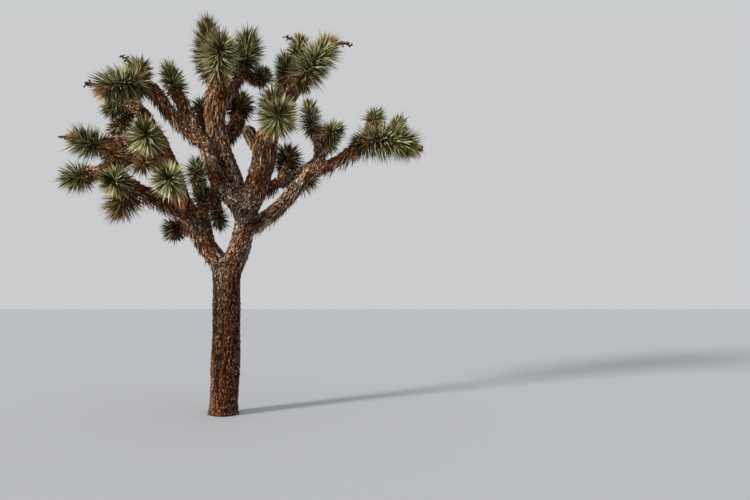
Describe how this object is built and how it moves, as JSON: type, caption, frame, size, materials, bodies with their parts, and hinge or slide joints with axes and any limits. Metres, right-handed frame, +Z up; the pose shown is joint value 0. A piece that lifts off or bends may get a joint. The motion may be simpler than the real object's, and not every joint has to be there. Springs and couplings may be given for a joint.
{
  "type": "joshua tree",
  "caption": "Whole joshua tree: one rugged trunk forks into bending shaggy limbs, each ending in a ball of stiff pointed leaves over a skirt of dead ones.",
  "frame": {"origin": "centre of the flat cut under the trunk, at ground level", "axes": "+Z up, +X to the tree's right in the picture, +Y to its back, away from the camera"},
  "size_m": [5.7469, 3.1415, 6.4251],
  "materials": {
    "trunk_bark": "deeply furrowed grey-brown bark with rusty plates",
    "limb_bark": "shaggy grey-brown bark and old leaf thatch",
    "foliage": "stiff matt olive-green leaves over tan dead ones"
  },
  "bodies": {
    "root": {"broken_stub": "limb_bark", "crown_leader": "limb_bark", "crown_rear": "limb_bark", "crown_right": "limb_bark", "drooping_limb": "limb_bark", "front_strand": "limb_bark", "inner_left": "limb_bark", "left_bough": "limb_bark", "left_front_spur": "limb_bark", "left_outer": "limb_bark", "left_reach": "limb_bark", "left_rear_bough": "limb_bark", "left_riser": "limb_bark", "low_front_spur": "limb_bark", "low_left_spur": "limb_bark", "lower_reach": "limb_bark", "middle_bough": "limb_bark", "rear_arm": "limb_bark", "rear_crown_limb": "limb_bark", "rear_left_limb": "limb_bark", "rear_low_limb": "limb_bark", "rear_right_bough": "limb_bark", "rear_right_limb": "limb_bark", "right_arm": "limb_bark", "right_arm_outer": "limb_bark", "right_spur": "limb_bark", "riser_top": "limb_bark", "tall_bough": "limb_bark", "trunk": "trunk_bark", "tuft_centre_front": "foliage", "tuft_crown_rear": "foliage", "tuft_drooping": "foliage", "tuft_inner_left": "foliage", "tuft_left_front": "foliage", "tuft_left_reach": "foliage", "tuft_low_front": "foliage", "tuft_low_left": "foliage", "tuft_lower_reach": "foliage", "tuft_rear_arm": "foliage", "tuft_rear_crown": "foliage", "tuft_rear_left": "foliage", "tuft_rear_low": "foliage", "tuft_rear_right": "foliage", "tuft_upper_left_spur": "foliage", "tuft_upper_right": "foliage", "tufts_crown_front": "foliage", "tufts_crown_right": "foliage", "tufts_left_outer": "foliage", "tufts_left_rear": "foliage", "tufts_left_rear_crown": "foliage", "tufts_rear_right": "foliage", "tufts_right_arm": "foliage", "tufts_right_spur": "foliage", "tufts_upper_left": "foliage", "tufts_upper_rear": "foliage", "upper_left_bough": "limb_bark", "upper_left_spur": "limb_bark", "upper_right_bough": "limb_bark", "upper_right_rear": "limb_bark"}
  },
  "joints": []
}
